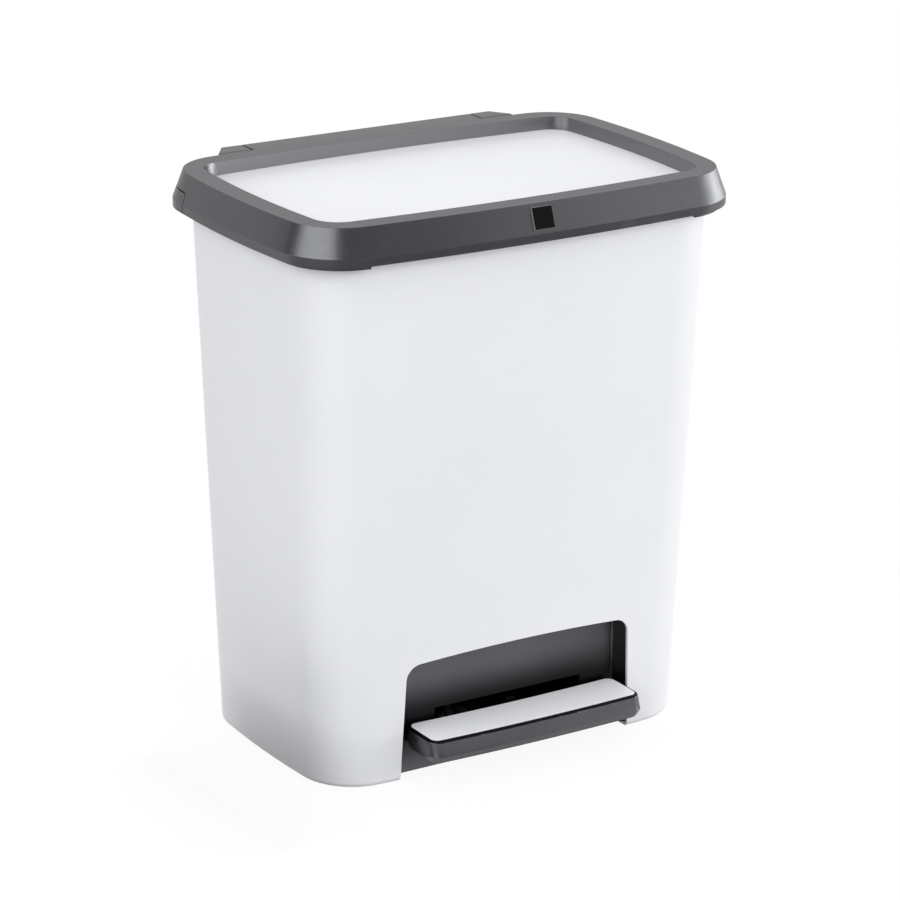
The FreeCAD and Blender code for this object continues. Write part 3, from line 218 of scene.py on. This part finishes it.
# blackened steel with fine strokes along x
def steelMaterial():
    steel = {"strokes": (40.0, 900.0, 900.0), "detail": 4.0, "rough": (0.22, 0.42),
             "dark": (0.085, 0.085, 0.088, 1), "light": (0.13, 0.13, 0.134, 1)}
    material, tree, shader = newMaterial("blackenedSteel")
    coord = addNode(tree, "ShaderNodeTexCoord", (-900, 0))
    mapping = addNode(tree, "ShaderNodeMapping", (-700, 0))
    mapping.inputs["Scale"].default_value = steel["strokes"]
    brush = addNode(tree, "ShaderNodeTexNoise", (-500, 0))
    brush.inputs["Scale"].default_value = 1.0
    brush.inputs["Detail"].default_value = steel["detail"]
    tree.links.new(coord.outputs["Object"], mapping.inputs["Vector"])
    tree.links.new(mapping.outputs["Vector"], brush.inputs["Vector"])
    rough = addRamp(tree, (-250, -50), brush.outputs["Fac"], 0.0, 1.0, *steel["rough"])
    tree.links.new(rough, shader.inputs["Roughness"])
    tint = addMix(tree, (-250, 250), brush.outputs["Fac"], steel["dark"], steel["light"])
    tree.links.new(tint, shader.inputs["Base Color"])
    shader.inputs["Metallic"].default_value = 1.0
    return material


materials["steel"] = steelMaterial()


# extra paint goes between a material's own colour and its shader
def openPaint(material):
    tree = material.node_tree
    socket = tree.nodes["Principled BSDF"].inputs["Base Color"]
    return tree, socket, socket.links[0].from_socket


def surfaceAxes(tree, kind, row):
    coord = addNode(tree, "ShaderNodeTexCoord", (-1100, row))
    axes = addNode(tree, "ShaderNodeSeparateXYZ", (-900, row))
    tree.links.new(coord.outputs[kind], axes.inputs["Vector"])
    return axes.outputs


# painted shade and highlight: the recess is painted darker behind the tread, to the right and in its
# slanted sides, with a painted highlight line up each edge
def shadeRecess(material):
    recess = {
        # painted shade: a dark core, a little below the insert's top
        "coreDrop": 0.0026, "nearCore": 0.008, "farFromCore": 0.038, "least": 0.1, "shadow": grey(0.004),
        # painted shade on the slanted sides, and painted highlight lines beside them, in from the ends
        "sideInset": 0.0095, "sideBlend": 0.0008,
        "lineInset": 0.0100, "lineSolid": 0.0003, "lineFaded": 0.0007, "line": (0.42, 0.43, 0.45, 1),
        # painted shade, darker towards the right
        "leanStart": 0.01, "leanEnd": 0.088, "leanLeast": 0.65,
    }
    core = nodeReach("tread_insert")[2] - recess["coreDrop"]
    halfWidth = nodeReach("pedal_housing")[0]
    sideStart = halfWidth - recess["sideInset"]
    tree, socket, paint = openPaint(material)
    place = surfaceAxes(tree, "Object", 700)
    aside = addMath(tree, "ABSOLUTE", (-650, 600), place["X"])
    apart = addMath(tree, "SUBTRACT", (-650, 800), place["Z"], core)
    apart = addMath(tree, "ABSOLUTE", (-450, 800), apart)
    clear = addRamp(tree, (-250, 800), apart, recess["nearCore"], recess["farFromCore"], recess["least"],
                    interpolation_type="SMOOTHSTEP")
    side = addRamp(tree, (-250, 550), aside, sideStart, sideStart + recess["sideBlend"], 1.0,
                   recess["least"])
    lean = addRamp(tree, (-250, 300), place["X"], recess["leanStart"], recess["leanEnd"], 1.0,
                   recess["leanLeast"])
    level = addMath(tree, "MULTIPLY", (0, 700), clear, side)
    level = addMath(tree, "MULTIPLY", (0, 500), level, lean)
    # painted shade over the wall's own colour
    dim = addMix(tree, (200, 500), level, recess["shadow"], paint)
    offset = addMath(tree, "SUBTRACT", (-450, 1050), aside, halfWidth - recess["lineInset"])
    offset = addMath(tree, "ABSOLUTE", (-250, 1050), offset)
    line = addRamp(tree, (0, 1050), offset, recess["lineSolid"], recess["lineFaded"], 1.0, 0.0)
    # the painted highlight line, weaker where the painted shade is deepest
    paintedHighlight = addMath(tree, "MULTIPLY", (200, 900), line, clear)
    tree.links.new(addMix(tree, (400, 500), paintedHighlight, dim, recess["line"]), socket)


# painted shade: the white insert is painted black on every face that doesn't look up, for the groove round
# it
def edgeInsert(material):
    edge = {"start": 0.80, "end": 0.88, "colour": (0.008, 0.008, 0.009, 1)}
    tree, socket, paint = openPaint(material)
    upward = addRamp(tree, (-450, 700), surfaceAxes(tree, "Normal", 700)["Z"], edge["start"], edge["end"])
    tree.links.new(addMix(tree, (150, 500), upward, edge["colour"], paint), socket)


# painted highlight: the badge's bevel is painted lighter than its black face
def edgeBadge(material):
    bevel = {"facing": (0.0, -0.936, 0.351), "start": 0.90, "end": 0.97, "colour": (0.12, 0.12, 0.126, 1)}
    tree, socket, paint = openPaint(material)
    coord = addNode(tree, "ShaderNodeTexCoord", (-1100, 700))
    facing = addNode(tree, "ShaderNodeVectorMath", (-900, 700), operation="DOT_PRODUCT")
    facing.inputs[1].default_value = bevel["facing"]
    tree.links.new(coord.outputs["Normal"], facing.inputs[0])
    flat = addRamp(tree, (-450, 700), facing.outputs["Value"], bevel["start"], bevel["end"])
    tree.links.new(addMix(tree, (150, 500), flat, bevel["colour"], paint), socket)


# painted shade: the upper part of the tread's rounding is painted black, for the groove round the insert;
# its drops are below the insert's top
def edgeTread(material):
    rim = {"startDrop": 0.0017, "endDrop": 0.00145, "colour": (0.006, 0.006, 0.007, 1)}
    insertTop = nodeReach("tread_insert")[2]
    tree, socket, paint = openPaint(material)
    upper = addRamp(tree, (-450, 700), surfaceAxes(tree, "Object", 700)["Z"],
                    insertTop - rim["startDrop"], insertTop - rim["endDrop"])
    tree.links.new(addMix(tree, (150, 500), upper, paint, rim["colour"]), socket)


# painted reflection: the lid ring's inner wall is painted lighter than the rest of the ring, the front and
# back more than the sides
def lightenWall(material):
    wall = {"sideRoom": 0.00815, "endRoom": 0.0057, "sunk": 0.0002, "start": 0.80, "end": 0.97,
            "sideShare": 0.5, "endShare": 1.0, "colour": (0.27, 0.273, 0.282, 1)}
    halfWidth, halfDepth, panelTop = nodeReach("lid_panel")
    tree, socket, paint = openPaint(material)
    place = surfaceAxes(tree, "Object", 900)
    facing = surfaceAxes(tree, "Normal", 600)
    mask = addMath(tree, "GREATER_THAN", (-650, 1300), place["Z"], panelTop - wall["sunk"])
    turned = []
    for axis, row, reach, share in (("X", 1100, halfWidth + wall["sideRoom"], wall["sideShare"]),
                                    ("Y", 900, halfDepth + wall["endRoom"], wall["endShare"])):
        apart = addMath(tree, "ABSOLUTE", (-650, row), place[axis])
        inside = addMath(tree, "LESS_THAN", (-450, row), apart, reach)
        mask = addMath(tree, "MULTIPLY", (-250, row), mask, inside)
        square = addMath(tree, "ABSOLUTE", (-650, row - 400), facing[axis])
        turned.append(addRamp(tree, (-450, row - 400), square, wall["start"], wall["end"], high=share))
    mask = addMath(tree, "MULTIPLY", (0, 700), mask, addMath(tree, "MAXIMUM", (-200, 600), *turned))
    tree.links.new(addMix(tree, (200, 500), mask, paint, wall["colour"]), socket)


# painted shade, highlights and reflection on single pieces
shadeRecess(materials["recess"])
edgeTread(materials["pedal"])
lightenWall(materials["lidRing"])
edgeBadge(materials["badge"])
edgeInsert(materials["insert"])
slotLooks = {
    "white_plastic": "white",
    "anthracite_plastic": "anthracite",
    "pedal_plastic": "pedal",
    "dark_plastic": "dark",
    "bucket_plastic": "bucket",
    "black_badge": "badge",
    "steel": "steel",
}
# pieces that look different from the rest of their slot; the recess, insert and lid ring looks carry
# painted shade, highlight and reflection
nodeLooks = {
    "pedal_housing": "recess",
    "pedal_lever": "dark",
    "tread_insert": "insert",
    "lid_frame": "lidRing",
}
for name, node in nodes.items():
    node.data.materials.clear()
    node.data.materials.append(materials[nodeLooks.get(name, slotLooks[nodeSlots[name]])])
print("materials made")


# visible mouldings get the small edge radii that the solids leave sharp
def softEdges(name, width, angle):
    edge = {"segments": 3, "weld": 2e-6, "flat": 0.15}  # weld in metres, flat in degrees
    mesh = nodes[name].data.copy()
    mesh.name = name + "Soft"
    mesh.attributes.remove(mesh.attributes["custom_normal"])
    shape = bmesh.new()
    shape.from_mesh(mesh)
    bmesh.ops.remove_doubles(shape, verts=shape.verts, dist=edge["weld"])
    flat = math.radians(edge["flat"])
    bmesh.ops.dissolve_limit(shape, angle_limit=flat, verts=shape.verts, edges=shape.edges)
    for face in shape.faces:
        face.smooth = True
    shape.to_mesh(mesh)
    shape.free()
    piece = bpy.data.objects.new(name + "Soft", mesh)
    scene.collection.objects.link(piece)
    bevel = piece.modifiers.new("edge", "BEVEL")
    bevel.width = width
    bevel.segments = edge["segments"]
    bevel.limit_method = "ANGLE"
    bevel.angle_limit = math.radians(angle)
    bevel.harden_normals = True
    bevel.use_clamp_overlap = True
    bevel.miter_outer = "MITER_ARC"
    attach(piece, next(body for body, members in bodies.items() if name in members))
    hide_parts(name)


edgeRadii = {
    "lid_frame": {"width": 0.0009, "angle": 14},
    "collar": {"width": 0.0007, "angle": 14},
    "outer_body": {"width": 0.0008, "angle": 28},
    "pedal_tread": {"width": 0.0005, "angle": 28},
    "pedal_housing": {"width": 0.0008, "angle": 28},
}
for name, radius in edgeRadii.items():
    softEdges(name, **radius)
print("edges softened")


# camera at the photo's angle
def placeCamera():
    view = {"azimuth": -31.99, "elevation": 18.9, "roll": 0.51, "distance": 2.6298,
            "target": (-0.00136, 0.00187, 0.1916), "lens": 144.73, "sensor": 36,
            "shift": (0.0057, 0.0167), "sight": 50}
    turn, rise, roll = (math.radians(view[key]) for key in ("azimuth", "elevation", "roll"))
    back = Vector((math.sin(turn) * math.cos(rise), -math.cos(turn) * math.cos(rise), math.sin(rise)))
    right = Vector((math.cos(turn), math.sin(turn), 0))
    up = back.cross(right)
    tiltedRight = right * math.cos(roll) + up * math.sin(roll)
    tiltedUp = up * math.cos(roll) - right * math.sin(roll)
    camera = bpy.data.objects.new("camera", bpy.data.cameras.new("camera"))
    scene.collection.objects.link(camera)
    spot = Vector(view["target"]) + back * view["distance"]
    axes = Matrix((tiltedRight, tiltedUp, back)).transposed()
    camera.matrix_world = Matrix.Translation(spot) @ axes.to_4x4()
    camera.data.lens = view["lens"]
    camera.data.sensor_width = view["sensor"]
    camera.data.shift_x, camera.data.shift_y = view["shift"]
    camera.data.clip_end = view["sight"]
    scene.camera = camera


placeCamera()
print("camera placed")


# rays that show a surface, straight or mirrored, rather than light by it
def seenRays(tree):
    rays = addNode(tree, "ShaderNodeLightPath", (-900, 300)).outputs
    shown = addMath(tree, "MAXIMUM", (-650, 300), rays["Is Camera Ray"], rays["Is Glossy Ray"])
    return addMath(tree, "MAXIMUM", (-450, 300), shown, rays["Is Transmission Ray"])


def flatSheet(name, size):
    wide, tall = (side / 2 for side in size)
    corners = [(-wide, -tall, 0), (wide, -tall, 0), (wide, tall, 0), (-wide, tall, 0)]
    mesh = bpy.data.meshes.new(name)
    mesh.from_pydata(corners, [], [(0, 1, 2, 3)])
    sheet = bpy.data.objects.new(name, mesh)
    scene.collection.objects.link(sheet)
    return sheet


# pale floor that fades into the surround, with a soft shadow round the bin
def layFloor():
    pale = {"size": (12.0, 12.0), "lighting": grey(0.35), "seen": grey(0.98), "rough": 0.8, "glow": 1.0,
            "fadeStart": 0.35, "fadeEnd": 1.0, "glowNear": 0.92, "glowFar": 1.0}
    floor = flatSheet("floor", pale["size"])
    paint, tree, base = newMaterial("paleFloor")
    seen = seenRays(tree)
    tree.links.new(addMix(tree, (-250, 0), seen, pale["lighting"], pale["seen"]), base.inputs["Base Color"])
    base.inputs["Roughness"].default_value = pale["rough"]
    glow = addNode(tree, "ShaderNodeEmission", (0, -300))
    glow.inputs["Strength"].default_value = pale["glow"]
    coord = addNode(tree, "ShaderNodeTexCoord", (-700, 600))
    reach = addNode(tree, "ShaderNodeVectorMath", (-500, 600), operation="LENGTH")
    tree.links.new(coord.outputs["Object"], reach.inputs[0])
    fade = addRamp(tree, (-300, 600), reach.outputs["Value"], pale["fadeStart"], pale["fadeEnd"],
                   pale["glowNear"], pale["glowFar"])
    blend = addNode(tree, "ShaderNodeMixShader", (300, 0))
    tree.links.new(addMath(tree, "MULTIPLY", (0, 200), seen, fade), blend.inputs["Fac"])
    tree.links.new(base.outputs["BSDF"], blend.inputs[1])
    tree.links.new(glow.outputs["Emission"], blend.inputs[2])
    tree.links.new(blend.outputs["Shader"], tree.nodes["Material Output"].inputs["Surface"])
    floor.data.materials.append(paint)


# white surround that lights the bin less than it shows
def fillSurround():
    surround = {"lighting": 0.52, "seen": 1.0}
    world = bpy.data.worlds.new("studio")
    scene.world = world
    world.use_nodes = True
    tree = world.node_tree
    sky = tree.nodes["Background"]
    sky.inputs["Color"].default_value = grey(1)
    level = addRamp(tree, (-200, 0), seenRays(tree), 0.0, 1.0, surround["lighting"], surround["seen"])
    tree.links.new(level, sky.inputs["Strength"])


# soft lamps: one that isn't mirrored only lights, one that isn't lit shows only in reflections
def hangLamps():
    aim = Vector((0, 0, 0.2))
    lamps = (
        {"name": "leftLamp", "spot": (-2.3, -0.75, 1.5), "size": (2.9, 2.1), "power": 42},
        {"name": "frontLamp", "spot": (0.2, -2.8, 1.5), "size": (2.0, 1.6), "power": 35, "mirrored": False},
        {"name": "topLamp", "spot": (0.3, 0.2, 2.6), "size": (2.2, 2.2), "power": 9},
        {"name": "backLamp", "spot": (0.9, 2.7, 1.3), "size": (2.0, 1.6), "power": 26, "mirrored": False},
        {"name": "rightLamp", "spot": (2.2, -0.72, 0.46), "size": (1.4, 0.5), "power": 23},
        {"name": "glintLamp", "spot": (2.0, 0.30, 0.46), "size": (0.9, 0.2), "power": 3.6, "lit": False},
    )
    for lamp in lamps:
        data = bpy.data.lights.new(lamp["name"], "AREA")
        data.shape = "RECTANGLE"
        data.size, data.size_y = lamp["size"]
        data.energy = lamp["power"]
        light = bpy.data.objects.new(lamp["name"], data)
        scene.collection.objects.link(light)
        light.visible_glossy = lamp.get("mirrored", True)
        light.visible_diffuse = lamp.get("lit", True)
        light.location = lamp["spot"]
        light.rotation_euler = (aim - light.location).to_track_quat("-Z", "Y").to_euler()


# dark cards seen in reflections; the one beside the left foot also shades it
def standCards():
    cardRough = 0.9
    cards = (
        {"name": "darkWall", "spot": (-1.24, -3.06, 1.5), "size": (2.0, 1.9), "turn": (90, 0, -22),
         "tone": 0.01},
        {"name": "greyWall", "spot": (0.69, -3.23, 1.5), "size": (2.0, 1.9), "turn": (90, 0, 12),
         "tone": 0.15},
        {"name": "backCard", "spot": (-1.73, 1.0, 1.1), "size": (0.8, 1.6), "turn": (90, 0, -120),
         "tone": 0.01},
        {"name": "floorCard", "spot": (-0.1, -1.25, 0.002), "size": (3.0, 1.2), "turn": (0, 0, 0),
         "tone": 0.02},
        {"name": "sideFloorCard", "spot": (-1.3, -0.1, 0.002), "size": (1.2, 1.1), "turn": (0, 0, 0),
         "tone": 0.02},
        {"name": "footCard", "spot": (-0.228, -0.06, 0.033), "size": (0.19, 0.066), "turn": (90, 0, -86),
         "tone": 0.01, "shades": True},
    )
    for card in cards:
        sheet = flatSheet(card["name"], card["size"])
        cloth, _, shader = newMaterial(card["name"])
        shader.inputs["Base Color"].default_value = grey(card["tone"])
        shader.inputs["Roughness"].default_value = cardRough
        sheet.data.materials.append(cloth)
        sheet.location = card["spot"]
        sheet.rotation_euler = [math.radians(angle) for angle in card["turn"]]
        sheet.visible_camera = False
        sheet.visible_diffuse = sheet.visible_shadow = card.get("shades", False)


layFloor()
fillSurround()
hangLamps()
standCards()
print("studio lit")
